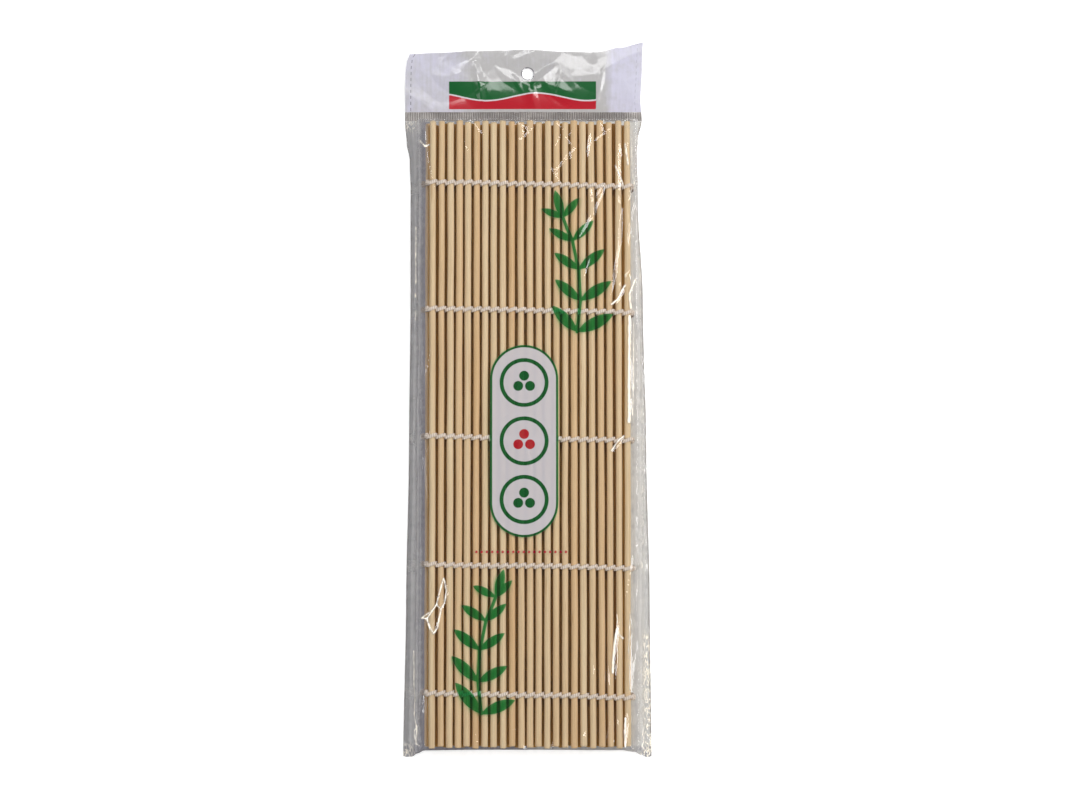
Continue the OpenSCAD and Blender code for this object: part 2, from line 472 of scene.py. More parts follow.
def slat_points(low_y, high_y, x, z, radius, lean, rng):
    """Rings of a slat, from its low end to its high end, closed by a point-like ring."""
    inset, share = np.array(END_RINGS).T
    inner = np.arange(low_y + END_REACH, high_y - END_REACH, RING_STEP)
    ys = np.concatenate([low_y + inset, inner, high_y - inset[::-1]])
    radii = np.concatenate([share, np.ones(len(inner)), share[::-1]]) * radius
    bow = np.zeros_like(ys)
    lift = np.zeros_like(ys)
    holds = sorted([low_y - HOLD_OUT, *row_ys, high_y + HOLD_OUT])
    for a, b in zip(holds[:-1], holds[1:]):
        t = np.clip((ys - a) / (b - a), 0, 1)
        arch = np.sin(np.pi * t) ** 2
        bow += arch * rng.uniform(-BOW, BOW) * min(1, (b - a) / 40)
        lift += arch * rng.uniform(-0.5, 0.3) * BOW
    bow += lean[0] * np.clip((row_ys[0] - ys) / (row_ys[0] - low_y), 0, 1)
    bow += lean[1] * np.clip((ys - row_ys[-1]) / (high_y - row_ys[-1]), 0, 1)
    turn = np.linspace(0, 2 * np.pi, RING_SIDES, endpoint=False)
    wander = 0.022 * np.sin(ys * 0.13 + rng.uniform(0, 6)) + rng.uniform(-0.06, 0.02)
    oval = 1 + rng.uniform(0, 0.035) * np.cos(2 * turn + rng.uniform(0, 6))
    rough = rng.uniform(0.9, 1.04, (len(ys), RING_SIDES))
    near_end = (radii < radius * 0.99) & (radii > 0)
    jag = np.where(near_end[:, None], rough, 1)
    ring = radii[:, None] * (1 + wander[:, None]) * oval[None, :] * jag
    points = np.empty((len(ys), RING_SIDES, 3))
    points[:, :, 0] = x + bow[:, None] + ring * np.cos(turn)
    uneven = rng.uniform(-JAG, JAG, ring.shape)
    points[:, :, 1] = ys[:, None] + np.where(near_end[:, None], uneven, 0)
    points[:, :, 2] = z + lift[:, None] + ring * np.sin(turn)
    return points


def add_slats(name, body, node, material, slats):
    """One piece of slats, each (low y, high y, x, z, radius, lean, shade, seed)."""
    stacks, faces, tones, shades, start = [], [], [], [], 0
    for low_y, high_y, x, z, radius, lean, shade, seed in slats:
        rng = np.random.default_rng(seed)
        points = slat_points(low_y, high_y, x, z, radius, lean, rng)
        rows = len(points)
        stacks.append(points.reshape(-1, 3))
        faces.extend(grid_faces(rows, RING_SIDES, closed=True) + start)
        tones.append(np.full(rows * RING_SIDES, rng.uniform(0, 1)))
        shades.append(np.full(rows * RING_SIDES, shade))
        start += rows * RING_SIDES
    points = np.concatenate(stacks)
    numbers = {"tone": np.concatenate(tones), "shade": np.concatenate(shades)}
    piece = make_piece(name, points, faces, None, numbers, material)
    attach(piece, body)
    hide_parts(node)


def evened(low, high):
    """A slat's two ends, with half of the CAD's raggedness."""
    return (low[1] + slat_low) / 2, (high[1] + slat_high) / 2


for i, (x, body) in enumerate(zip(column_xs, body_names)):
    low, high = box_mm(f"top_slat_{i + 1:02d}")
    lean = (LEAN * math.sin(0.7 * i + 1), LEAN * math.sin(0.6 * i))
    top = (*evened(low, high), (low[0] + high[0]) / 2, top_z, drawn_r, lean, 0.0, 100 + i)
    add_slats(f"bamboo_top_{i + 1:02d}", body, f"top_slat_{i + 1:02d}", bamboo, [top])
    node = f"lower_slats_{i + 1:02d}"
    low_y, high_y = evened(*box_mm(node))
    shade = GAP_SHADE if i else EDGE_SHADE
    middle = (low_y, high_y - 0.5, x - pitch / 2, middle_z, hidden_r, lean, shade, 200 + i)
    bottom = (low_y + 0.4, high_y, x, bottom_z, hidden_r, lean, BOTTOM_SHADE, 300 + i)
    add_slats(f"bamboo_under_{i + 1:02d}", body, node, under, [middle, bottom])
print("slats:", 3 * columns, "sides:", RING_SIDES)

# %% [markdown]
# ## Cotton string
# Each row is twined: two strands pass over and under every slat and change places in every
# gap, so from above the row shows as short slanted dashes. A strand is spun from two plies,
# which shows as a twist along it. Its cross-section therefore has two lobes that turn as it
# runs on. The strands of the two lower layers are painted darker, a painted shade, as they lie
# in the shadow of the top layer.
# %% Cotton finish
SHADED_BELOW = 9.0


def cotton_finish():
    """The string's finish: a painted highlight on top of each ply and painted shade in the valleys
    between, with grime at random.
    """
    material, tree = new_tree("cotton_string")
    place = stored(tree, "rest", "Vector")
    ply = stored(tree, "ply")
    fuzz = noise(tree, place, 4.2, 4.0)
    yarn = noise(tree, stretched(tree, place, (2.2, 9.0, 9.0)), 1.0, 3.0)
    grime = noise(tree, place, 0.11, 2.0)
    height = axis_of(tree, place, "Z")
    # painted light and shade: the top of each ply is painted pale, the valleys between dark
    ply_light_and_shade = (ply * 1.1 + yarn * 0.35 - 0.25).clamp()
    colour = mixed(tree, ply_light_and_shade, paint(166, 146, 128), paint(252, 240, 226))
    colour = mixed(tree, (grime * 0.4).clamp(), colour, paint(244, 228, 216))
    # painted shade: strands below a set height, in the two lower layers, are darkened
    colour = mixed(tree, (SHADED_BELOW - height).clamp() * 0.6, colour, paint(120, 100, 84))
    normal = bumped(tree, fuzz * 0.5 + yarn * 0.8, 0.12, 0.9)
    inputs = {"Base Color": colour, "Roughness": 0.95, "Normal": normal}
    inputs["Specular IOR Level"] = 0.1
    inputs["Sheen Weight"] = 0.25
    finish_tree(tree, Wire.node(tree, "ShaderNodeBsdfPrincipled", None, inputs))
    return material


cotton = cotton_finish()
print("cotton nodes:", len(cotton.node_tree.nodes))

# %% [markdown]
# ## Twined rows
# A strand's path is worked out once across the whole row and swept into one long tube. The tube
# is then cut at the middles of the slats, into one length between each two columns. The
# reference direction for the sweep is the row's own Y axis, because the path never runs along it.
# %% Twine helpers
STRAND_R = 0.4
STRAND_FLAT = 1.95
LOBE = 0.2
PLY_TURN = 1.6
CROSSING = 0.46
ARCH_POWER = 0.45
ARC_RINGS = 28
STRAND_SIDES = 12
ROW_DRIFT = -1.6


def sweep_strand(path, start_turn=0.0, radius=STRAND_R):
    """A two-ply strand along a path: points, and how high each lies on its ply."""
    steps = np.linalg.norm(np.diff(path, axis=0), axis=1)
    run = np.concatenate([[0], np.cumsum(steps)])
    ahead = np.gradient(path, axis=0)
    ahead /= np.linalg.norm(ahead, axis=1, keepdims=True)
    side = np.cross(ahead, [0, 1, 0])
    side /= np.maximum(np.linalg.norm(side, axis=1, keepdims=True), 1e-9)
    lift = np.cross(side, ahead)
    turn = np.linspace(0, 2 * np.pi, STRAND_SIDES, endpoint=False)[None, :]
    lobes = np.abs(np.cos(turn - start_turn - 2 * np.pi * run[:, None] / PLY_TURN))
    ring = radius * (1 - LOBE * 1.5 + LOBE * 1.5 * lobes)
    flat = np.sin(turn)[..., None] * STRAND_FLAT
    section = np.cos(turn)[..., None] * side[:, None, :] + flat * lift[:, None, :]
    points = path[:, None, :] + ring[..., None] * section
    return points, lobes


def row_line(row):
    """The row's height on the page at each slat: a steady drift and a small wander."""
    rng = np.random.default_rng(500 + row)
    wander = np.cumsum(rng.normal(0, 0.07, columns))
    wander -= np.linspace(wander[0], wander[-1], columns)
    return row_ys[row] + ROW_DRIFT * (np.linspace(0, 1, columns) - 0.5) + wander


def twine_path(row, first_x, z, over):
    """One strand across a layer, half a pitch past the outer slats; over is 1 or -1."""
    line = row_line(row)
    angle = np.linspace(math.pi, 0, ARC_RINGS + 1)[:-1]
    spots = []
    for k in range(columns):
        sign = over * (1 if k % 2 == 0 else -1)
        x = first_x + k * pitch + wrap_r * np.cos(angle)
        height = z + sign * wrap_r * np.sin(angle) ** ARCH_POWER
        spots.append(np.stack([x, x * 0, height], axis=1))
    spots.append([[first_x + (columns - 0.5) * pitch, 0, z]])
    path = np.concatenate(spots)
    share = (path[:, 0] - first_x) / pitch
    path[:, 1] = np.interp(share, np.arange(columns), line) + over * CROSSING * np.sin(np.pi * share)
    return path


# %% [markdown]
# At each edge the two strands end in a small knot, built as a trefoil: the simplest curve that
# winds through itself as a tied knot does. At the folded edges a strand also turns down to the
# next layer.
# %% Knots and turns
KNOT_OUT = 1.9
KNOT_R = 0.56
KNOT_STRAND_R = 0.36
KNOT_TURN = 1.3
TURN_R = 0.9
TURN_INSET = 0.25


def knot_path(x, y, z, spin):
    """A trefoil round a point, flattened towards the mat."""
    t = np.linspace(0, 2 * np.pi, 61)
    flat = np.stack([np.sin(t) + 2 * np.sin(2 * t), np.cos(t) - 2 * np.cos(2 * t), -np.sin(3 * t)], 1)
    flat *= KNOT_R / 3 * np.array([1.0, 1.15, 0.9])
    c, s = math.cos(spin), math.sin(spin)
    turned = np.stack([flat[:, 0] * c - flat[:, 1] * s, flat[:, 0] * s + flat[:, 1] * c, flat[:, 2]], 1)
    return turned + [x, y, z]


def turn_path(x, y, high, low, side, back):
    """Out from a layer's knot, down, and back in under the mat; side is 1 or -1."""
    angle = np.linspace(math.pi / 2, 0, 9)
    over = np.stack([np.cos(angle), angle * 0, np.sin(angle)], 1) * TURN_R + [0, 0, high - TURN_R]
    under = over[::-1] * [1, 1, -1] + [0, 0, high + low]
    drop = np.linspace(over[-1], under[0], 12)[1:-1]
    back_in = np.linspace([0, 0, low], [-back, 0, low], 12)[1:]
    path = np.concatenate([over, drop, under, back_in]) * [side, 1, 1] + [x, y, 0]
    path[:, 1] += 0.12 * np.sin(np.linspace(0, 9, len(path)))
    return path


# %% Build the strands
def cut_tube(points, lobes, first, last, stack):
    """Adds the rings from first to last of a swept tube to a stack of mesh parts."""
    normals = grid_normals(points, closed=True)
    rows = last - first + 1
    part = slice(first, last + 1)
    faces = grid_faces(rows, STRAND_SIDES, closed=True) + stack["count"]
    stack["points"].append(points[part].reshape(-1, 3))
    stack["normals"].append(-normals[part].reshape(-1, 3))
    stack["ply"].append(lobes[part].ravel())
    stack["faces"].extend(faces)
    stack["count"] += rows * STRAND_SIDES


def whole_tube(points, lobes, stack):
    """Adds all the rings of a swept tube to a stack."""
    cut_tube(points, lobes, 0, len(points) - 1, stack)


def new_stack():
    """An empty stack of mesh parts."""
    return {"points": [], "normals": [], "ply": [], "faces": [], "count": 0}


outer_spans = [new_stack() for _ in range(columns - 1)]
middle_spans = [new_stack() for _ in range(columns - 1)]
left_end, right_end = new_stack(), new_stack()
first_top, first_middle = column_xs[0], column_xs[0] - pitch / 2
half_arc = ARC_RINGS // 2
for row in range(len(row_ys)):
    line = row_line(row)
    for first_x, z, spans in (
        (first_top, top_z, outer_spans),
        (first_middle, middle_z, middle_spans),
        (first_top, bottom_z, outer_spans),
    ):
        for over in (1, -1):
            points, lobes = sweep_strand(twine_path(row, first_x, z, over), row + over)
            cut_tube(points, lobes, 0, half_arc, left_end)
            for k, span in enumerate(spans):
                start = half_arc + k * ARC_RINGS
                cut_tube(points, lobes, start, start + ARC_RINGS, span)
            cut_tube(points, lobes, len(points) - 1 - half_arc, len(points) - 1, right_end)
        last_x = first_x + (columns - 1) * pitch
        knots = ((first_x - KNOT_OUT, line[0], left_end), (last_x + KNOT_OUT, line[-1], right_end))
        for x, y, end in knots:
            path = knot_path(x, y, z, row * KNOT_TURN + z)
            whole_tube(*sweep_strand(path, radius=KNOT_STRAND_R), end)
    x = first_top + (columns - 1) * pitch + KNOT_OUT - TURN_INSET
    whole_tube(*sweep_strand(turn_path(x, line[-1], top_z, bottom_z, 1, 0.6)), right_end)
    x = first_middle - KNOT_OUT + TURN_INSET
    path = turn_path(x, line[0], middle_z, bottom_z, -1, pitch / 2 + 0.4)
    whole_tube(*sweep_strand(path), left_end)


def string_piece(name, stack):
    """One piece of string made from a stack; all of them together stand for the string rows."""
    points = np.concatenate(stack["points"])
    numbers = {"ply": np.concatenate(stack["ply"]), "rest": points}
    piece = make_piece(name, points, stack["faces"], np.concatenate(stack["normals"]), numbers, cotton)
    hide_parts(*row_names)
    return piece


def bend_between(piece, k, first_x):
    """Bakes a piece's place into its mesh; it isn't tied to the hinge between columns k and k + 1."""
    start = (first_x * MM, 0, 0)
    end = ((first_x + pitch) * MM, 0, 0)
    body_names[k + 1]
    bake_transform(piece)


for k in range(columns - 1):
    outer = string_piece(f"string_span_{k + 1:02d}", outer_spans[k])
    bend_between(outer, k, column_xs[k])
    inner = string_piece(f"string_inner_{k + 1:02d}", middle_spans[k])
    bend_between(inner, k, column_xs[k] - pitch / 2)
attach(string_piece("string_end_left", left_end), body_names[0])
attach(string_piece("string_end_right", right_end), body_names[-1])
print("string pieces:", 2 * (columns - 1) + 2)

# %% [markdown]
# ## The film's grid
# The bag is one blown tube of film, so its front, back, seal and header share one set of lines.
# Lines across lie on the column centres, with finer lines between, and on past the mat down the
# sides; the film is cut at the column centres later. Its side edges are drawn in where the film
# has to climb over the mat. Each edge below is a few points: how far along it, and how far out.
# %% Grid lines
CELLS = 8
SIDE_CELLS = 26
WALL_SHARE = 0.62
FOOT_SHARE = 0.74
WALL_EASE = 0.7
LOW_Z = 0.2
ROOF_DROP = 0.1
SHOULDER_OUT = 2.4
seal_box, film_box = box_mm("ribbed_seal"), box_mm("front_film")
seal_low, seal_high = seal_box[0][1], seal_box[1][1]
foot_y = film_box[0][1]
ROOF = film_box[1][2] - ROOF_DROP
left_shoulder = column_xs[0] - slat_r - SHOULDER_OUT
right_shoulder = column_xs[-1] + slat_r + SHOULDER_OUT
LEFT_EDGE = ((-138.6, 47.7), (-79, 46.8), (-21, 45.9), (37, 45.5), (80, 45.6), (92, 46.0), (99, 47.2),
             (106, 47.8), (113, 47.8), (121, 47.8), (128, 47.7), (132, 47.3), (134, 46.2))
RIGHT_EDGE = ((-138.6, 47.6), (-79, 47.1), (-21, 46.0), (37, 44.8), (76, 43.0), (95, 42.7),
              (100, 43.0), (108, 44.6), (115, 44.0), (128, 44.6), (138.8, 45.1))
BOTTOM_EDGE = ((-47.8, 138.1), (-46.6, 138.5), (-44.2, 138.4), (-42.2, 137.2), (-39.5, 136.1),
               (-20, 135.8), (0, 135.8), (36, 136.0), (41, 136.6), (43.6, 137.7), (45.4, 138.5),
               (46.8, 138.5), (47.8, 138.0))


def along_curve(points, t):
    """A soft curve through a few points."""
    xs = np.array([x for x, _ in points], float)
    ys = np.array([y for _, y in points], float)
    k = np.clip(np.searchsorted(xs, t) - 1, 0, len(xs) - 2)
    share = smooth((t - xs[k]) / (xs[k + 1] - xs[k]))
    return ys[k] * (1 - share) + ys[k + 1] * share


def wall_profile(s):
    """Across and up: from the shoulder (s 0) down the wall to the flat foot and the edge (s 1)."""
    q = np.clip(s / WALL_SHARE, 0, 1)
    wall = FOOT_SHARE * (q + WALL_EASE * np.sin(2 * np.pi * q) / (2 * np.pi))
    flat = (1 - FOOT_SHARE) * np.clip((s - WALL_SHARE) / (1 - WALL_SHARE), 0, 1)
    return wall + flat, 1 - smooth(q)


side_s = np.linspace(1, 0, SIDE_CELLS + 1)[:-1]
roof_xs = np.concatenate([
    np.linspace(left_shoulder, column_xs[0], CELLS + 1)[:-1],
    np.linspace(column_xs[0], column_xs[-1], CELLS * (columns - 1) + 1),
    np.linspace(column_xs[-1], right_shoulder, CELLS + 1)[1:],
])
side = np.ones(SIDE_CELLS)
line_x = np.concatenate([side * left_shoulder, roof_xs, side * right_shoulder])
line_s = np.concatenate([-side_s, roof_xs * 0, side_s[::-1]])
first_centre = SIDE_CELLS + CELLS
print("lines across:", len(line_x))

# %% [markdown]
# ## Crumpling
# Film doesn't stretch, so it creases along straight lines and stays nearly flat between them.
# Two recipes give that. Facets are heights at random points joined by flat triangles, as on a
# crumpled sheet. Creases are single straight ridges that fade out at both ends. Both are seeded,
# so that every run gives the same bag.
# %% Facets and creases
TILES = 64
FACET_SHIFT = 100
RIDGE_BEND = 0.0022


def facets(x, y, seed, size, warp=0.35):
    """Heights from -1 to 1, joined by flat triangles of about the given size."""
    table = np.random.default_rng(seed).uniform(-1, 1, (TILES, TILES))
    u = x / size[0] + warp * np.sin(y / size[1] * 1.7 + seed) + FACET_SHIFT
    v = y / size[1] + warp * np.sin(x / size[0] * 1.3 + 2 * seed) + FACET_SHIFT
    i, j = np.floor(u).astype(int), np.floor(v).astype(int)
    fu, fv = u - i, v - j
    a, b, c, d = (table[(i + p) % TILES, (j + q) % TILES] for q in (0, 1) for p in (0, 1))
    near = a + fu * (b - a) + fv * (c - a)
    far = d + (1 - fu) * (c - d) + (1 - fv) * (b - d)
    return np.where(fu + fv < 1, near, far)


def creases(x, y, seed, count, area, angle, reach, width, height):
    """The sum of many straight ridges and valleys inside an area (x0, x1, y0, y1)."""
    rng = np.random.default_rng(seed)
    total = np.zeros_like(x)
    for _ in range(count):
        cx, cy = rng.uniform(area[0], area[1]), rng.uniform(area[2], area[3])
        lean = math.radians(rng.normal(*angle))
        length, wide = rng.uniform(*reach), rng.uniform(*width)
        rise = rng.uniform(*height) * rng.choice([-1, 1])
        curve = rng.normal(0, RIDGE_BEND)
        along = (x - cx) * math.cos(lean) + (y - cy) * math.sin(lean)
        off = (y - cy) * math.cos(lean) - (x - cx) * math.sin(lean) + curve * along**2
        fade = smooth(1.3 - 1.3 * np.abs(along) / length)
        total += rise * np.clip(1 - np.abs(off) / wide, 0, 1) * fade
    return total


GLINT_SLOPE = 0.214
GLINT_DRIFT = 0.00115


def fold(x, y, start, end, width):
    """One straight ridge, steep enough that its right flank turns the lamp's light upwards."""
    (ax, ay), (bx, by) = start, end
    length = math.hypot(bx - ax, by - ay)
    ux, uy = (bx - ax) / length, (by - ay) / length
    height = width * (GLINT_SLOPE - GLINT_DRIFT * (ax + bx) / 2) / abs(uy)
    along = ((x - ax) * ux + (y - ay) * uy) / length
    swell = np.sqrt(np.clip(4 * along * (1 - along), 0, 1))
    off = np.abs((y - ay) * ux - (x - ax) * uy)
    return height * swell * np.clip(1 - off / (width * np.maximum(swell, 0.05)), 0, 1)


print("facet test:", round(float(facets(np.array([3.0]), np.array([5.0]), 7, (9, 7))[0]), 3))

# %% [markdown]
# ## Printed shapes
# Ink lies on the film as flat shapes. Each is stored as a distance to its outline, in
# millimetres and negative inside, because a distance stays exact between the grid's points:
# the material turns it into a crisp edge. The motifs are plain ones: sprays of leaves, slices
# of a roll in a long round-ended panel, a dotted rule, and a two-colour band on the header.
# %% Distances to simple shapes
FAR = 9.0
STEM = ((0, 0), (1.2, 12), (0.6, 24), (-1.8, 35), (-5.5, 44))
STEM_R = 0.65
LEAF_TURNS = ((38, 15.5), (146, 14.0))


def disc(x, y, cx, cy, r):
    """Distance to a disc round a centre."""
    return np.hypot(x - cx, y - cy) - r


def ring(x, y, cx, cy, r, width):
    """Distance to a ring whose middle line has the radius r."""
    return np.abs(disc(x, y, cx, cy, r)) - width / 2


def pill(x, y, ax, ay, bx, by, r):
    """Distance to a line from a to b with round ends of radius r."""
    dx, dy = bx - ax, by - ay
    t = np.clip(((x - ax) * dx + (y - ay) * dy) / (dx * dx + dy * dy), 0, 1)
    return np.hypot(x - ax - t * dx, y - ay - t * dy) - r


def leaf(x, y, ax, ay, lean, length, width):
    """A pointed leaf from its stalk at a, leaning by degrees from the X axis."""
    c, s = math.cos(math.radians(lean)), math.sin(math.radians(lean))
    along = (x - ax) * c + (y - ay) * s - length / 2
    off = np.abs((y - ay) * c - (x - ax) * s)
    r = (length**2 + width**2) / (4 * width)
    return np.hypot(along, off + r - width / 2) - r


def spray(x, y, cx, cy, side):
    """A leafy shoot about 55 mm tall: a bent stem with paired leaves, side 1 or -1."""
    shape = np.full_like(x, FAR)
    stem = [(cx + side * ax, cy + ay) for ax, ay in STEM]
    for start, end in zip(stem[:-1], stem[1:]):
        shape = np.minimum(shape, pill(x, y, *start, *end, STEM_R))
    for k, joint in enumerate(stem):
        for turn, size in LEAF_TURNS:
            lean = turn + (6 * k - 12) + (180 - 2 * turn if side < 0 else 0)
            length = size * (1 - 0.09 * k)
            shape = np.minimum(shape, leaf(x, y, *joint, lean, length, length * 0.3))
    return np.minimum(shape, leaf(x, y, *stem[-1], 90 + 16 * side, 11, 3.4))


# %% The two prints
SPRAYS = ((19.0, 24.0, 1), (-17.5, -121.0, -1))
PANEL_X, PANEL_TOP, PANEL_FOOT, PANEL_R = -1.3, 5.9, -41.3, 12.6
OUTLINE_HALF, PALE_SPREAD = 0.45, 0.3
ROLL_YS, ROLL_R, ROLL_LINE = (4.6, -17.7, -40.0), 8.6, 1.5
FILLING_OUT, FILLING_R = 2.6, 1.9
DOTS, DOTS_X, DOTS_Y, DOT_STEP, DOT_R = 18, -19.4, -59.9, 2.0, 0.55
BAND_X, BAND_Y, BAND_HALF_WIDTH, BAND_HALF_HEIGHT = -2.0, 117.6, 28.7, 5.4
WAVE_Y, WAVE_RISE, WAVE_STRETCH, WAVE_HALF = 117.0, 1.5, 6.2, 0.28


def front_print(x, y):
    """Distances to the green, red and pale ink of the bag's front."""
    panel = pill(x, y, PANEL_X, PANEL_TOP, PANEL_X, PANEL_FOOT, PANEL_R)
    green = np.minimum(*(spray(x, y, *place) for place in SPRAYS))
    green = np.minimum(green, np.abs(panel) - OUTLINE_HALF)
    red = np.full_like(x, FAR)
    for k, cy in enumerate(ROLL_YS):
        green = np.minimum(green, ring(x, y, PANEL_X, cy, ROLL_R, ROLL_LINE))
        for turn in (90, 210, 330):
            angle = math.radians(turn)
            across, up = FILLING_OUT * math.cos(angle), FILLING_OUT * math.sin(angle)
            filling = disc(x, y, PANEL_X + across, cy + up, FILLING_R)
            if k == 1:
                red = np.minimum(red, filling)
            else:
                green = np.minimum(green, filling)
    for k in range(DOTS):
        red = np.minimum(red, disc(x, y, DOTS_X + DOT_STEP * k, DOTS_Y, DOT_R))
    return {"green": green, "red": red, "pale": panel - PALE_SPREAD}


def header_print(x, y):
    """Distances to the two-colour band under the hang hole."""
    band = np.maximum(np.abs(x - BAND_X) - BAND_HALF_WIDTH, np.abs(y - BAND_Y) - BAND_HALF_HEIGHT)
    wave = y - WAVE_Y - WAVE_RISE * np.sin((x + 6) / WAVE_STRETCH)
    pale = np.maximum(np.abs(wave) - WAVE_HALF, band)
    green = np.maximum(np.maximum(band, -wave), -pale)
    red = np.maximum(np.maximum(band, wave), -pale)
    return {"green": green, "red": red, "pale": pale}


middle = leaf(np.array([5.0]), np.array([0.0]), 0, 0, 0, 10, 3)
print("leaf distance at its middle:", round(float(middle[0]), 2))

# %% [markdown]
# ## Film finishes
# Clear film shows what is behind it, a little veiled, and shines on top. The material mixes a
# see-through shader with a plastic one by how solid each spot is: almost clear over the mat,
# milky at the margins and the header, nearly opaque under the panel, the dots and the header's
# band. The leaves are see-through ink, so there a green see-through shader takes the place of the
# clear one. A glossy layer by Fresnel goes over all of it, so that tilted creases catch the lamps.
# A crease too thin for that is painted white: partly the white of film folded sharply, partly a
# painted glint, and such a line has a painted glow too. The margin squiggles are painted glints.
# %% Film colours and measures
GREEN_INK = paint(0, 92, 38)
RED_INK = paint(188, 8, 34)
PALE_INK = paint(224, 219, 224)
CUT_TONE = paint(84, 80, 92)
WHITE_CREASE_AND_GLINT = paint(255, 248, 232)
CREASE_EDGE = 0.42
CREASE_UNEVEN = 0.55
PAINTED_GLINT_GLOW = (0.42, 0.375, 0.31)
SQUIGGLE_SCALE = (0.85, 0.3, 0.2)
SQUIGGLE_HALF = 0.05
INK_EDGE = 0.16
LEAF_SOLID = 0.3
LEAF_FILTER = (0.19, 0.68, 0.36, 1)
TEAR_INSET = 2.2
DASH_HALF = 1.18
HOLE_SHADE_RIM = 0.55
PALE_SHARE = 0.92
WHITE_SHARE = 0.92
FILM_IOR = 1.55
FILM_GRAIN = 0.02
MOST_SHINE = 0.12


# %% Film finish
def ink_mask(tree, name):
    """1 inside a printed shape and 0 outside it, with a crisp edge."""
    return (0.5 - stored(tree, name) / INK_EDGE).clamp()


def tear_mask(tree, place):
    """Short cuts along a line beside each edge of the header."""
    height = axis_of(tree, place, "Y")
    dash = height.math("PINGPONG", DASH_HALF).above(0.5, 8.0)
    off = (stored(tree, "gap") - TEAR_INSET).math("ABSOLUTE")
    return dash * off.below(0.2, 9.0) * stored(tree, "cut")


def whitened_and_glints(tree, place):
    """Painted glints, partly the white of sharp creases: the stored lines, and squiggles in the flat
    margins.
    """
    worn = noise(tree, stretched(tree, place, (0.9, 0.5, 1.0)), 1.0, 2.0)
    crease_glint = stored(tree, "crease_glint") + (0.5 - worn) * CREASE_UNEVEN
    crease_glint = (0.5 - crease_glint / CREASE_EDGE).clamp()
    waves = noise(tree, stretched(tree, place, SQUIGGLE_SCALE), 1.0, 2.5)
    lines = (waves - 0.5).math("ABSOLUTE").below(SQUIGGLE_HALF, 30.0)
    return crease_glint.larger(lines * stored(tree, "squiggle_glint") * 0.9)


def film_finish(name, veil, shade, ink=0.0, blur=0.05):
    """A film from its veil colour to a darker shade, how solid its ink is, and its gloss."""
    material, tree = new_tree(name)
    place = stored(tree, "rest", "Vector")
    haze, tint = stored(tree, "haze"), stored(tree, "tint")
    streaks = noise(tree, stretched(tree, place, (0.9, 0.05, 1.0)), 1.0, 3.0)
    clouds = noise(tree, place, 0.35, 4.0)
    grey = tint + (0.5 - streaks) * 0.6 + (0.5 - clouds) * 0.9
    colour = mixed(tree, grey.clamp(), veil, shade)
    solid = haze * (0.8 + streaks * 0.2 + clouds * 0.2)
    if ink:
        pale, green, red = (ink_mask(tree, shape) for shape in ("pale", "green", "red"))
        colour = mixed(tree, pale, colour, PALE_INK)
        colour = mixed(tree, green, colour, GREEN_INK)
        colour = mixed(tree, red, colour, RED_INK)
        leaf_solid = LEAF_SOLID if name == "clear_film" else ink
        solid = solid.larger(pale * (ink * PALE_SHARE)).larger(green * leaf_solid).larger(red * ink)
    if name == "header_film":
        colour = mixed(tree, tear_mask(tree, place), colour, CUT_TONE)
        # painted shade: a dark rim round the hang hole, partly its cut edge
        rim = stored(tree, "hole").below(HOLE_SHADE_RIM, 4.0)
        colour = mixed(tree, rim, colour, CUT_TONE)
    normal = bumped(tree, clouds, FILM_GRAIN)
    inputs = {"Roughness": 0.35, "Normal": normal, "Specular IOR Level": 0.2}
    if name == "clear_film":
        # painted glints: white lines and squiggles, partly the white of folded film, with a painted
        # glow
        white = whitened_and_glints(tree, place)
        colour = mixed(tree, white, colour, WHITE_CREASE_AND_GLINT)
        solid = solid.larger(white * WHITE_SHARE)
        inputs["Emission Color"] = mixed(tree, white, (0, 0, 0), PAINTED_GLINT_GLOW)
        inputs["Emission Strength"] = 1.0
    inputs["Base Color"] = colour
    plastic = Wire.node(tree, "ShaderNodeBsdfPrincipled", None, inputs)
    clear = Wire.node(tree, "ShaderNodeBsdfTransparent")
    if name == "clear_film":
        tinted = Wire.node(tree, "ShaderNodeBsdfTransparent", None, {"Color": LEAF_FILTER})
        clear = Wire.node(tree, "ShaderNodeMixShader", None, {0: green, 1: clear, 2: tinted})
    body = Wire.node(tree, "ShaderNodeMixShader", None, {0: solid.clamp(), 1: clear, 2: plastic})
    gloss = Wire.node(tree, "ShaderNodeBsdfGlossy", None, {"Roughness": blur, "Normal": normal})
    shine = Wire.node(tree, "ShaderNodeFresnel", None, {"IOR": FILM_IOR})
    shine = shine.math("MINIMUM", MOST_SHINE)
    shine = shine * (1.0 - stored(tree, "matt"))
    finish_tree(tree, Wire.node(tree, "ShaderNodeMixShader", None, {0: shine, 1: body, 2: gloss}))
    return material


clear_film = film_finish("clear_film", paint(205, 205, 208), paint(150, 148, 156), ink=0.8)
back_film = film_finish("back_film", paint(244, 243, 238), paint(134, 132, 143))
veil, shade = paint(208, 206, 224), paint(186, 184, 184)
header_film = film_finish("header_film", veil, shade, ink=0.99, blur=0.12)
sealed_film = film_finish("sealed_film", paint(182, 176, 172), paint(84, 74, 68))
print("film finishes:", [m.name for m in (clear_film, back_film, header_film, sealed_film)])

# %% [markdown]
# ## Cutting a sheet into strips
# A whole sheet of film is one grid of points. It is cut at the column centres into strips, and
# two end pieces that ride on the outer columns. The normals come from the whole sheet before the
# cuts, so the strips show no seams.
# %% Sheet to strips
def centre_lines(first, cells):
    """Numbers of the grid lines that lie on the column centres."""
    return [first + k * cells for k in range(columns)]


